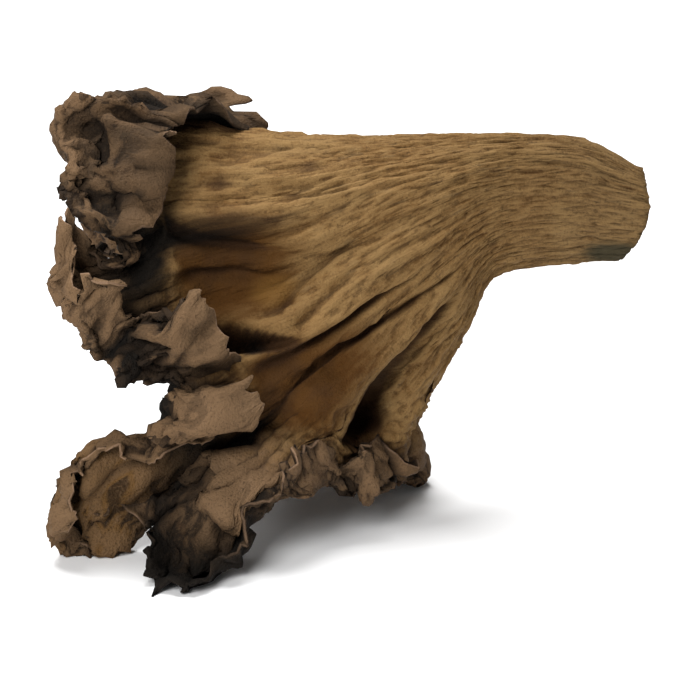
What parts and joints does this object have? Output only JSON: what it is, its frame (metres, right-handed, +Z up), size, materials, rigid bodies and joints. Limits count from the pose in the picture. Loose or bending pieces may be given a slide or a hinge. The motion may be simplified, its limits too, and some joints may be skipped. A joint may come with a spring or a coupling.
{
  "type": "dried black trumpet mushroom",
  "caption": "Dried trumpet-shaped mushroom lying on its side: a flattened hollow stem that widens into a pleated funnel with a crumpled, rolled-back margin.",
  "frame": {"origin": "middle of the object's outline, on the surface that it lies on", "axes": "+Z up, +X from the frilled mouth towards the cut end of the stem, +Y away from the viewing side"},
  "size_m": [0.0716, 0.0572, 0.056],
  "materials": {
    "flesh": "matt, leathery; tan and fibrous outside, dark grey-brown on the margin and inside"
  },
  "bodies": {
    "root": {"trumpet_mushroom": "flesh"}
  },
  "joints": []
}
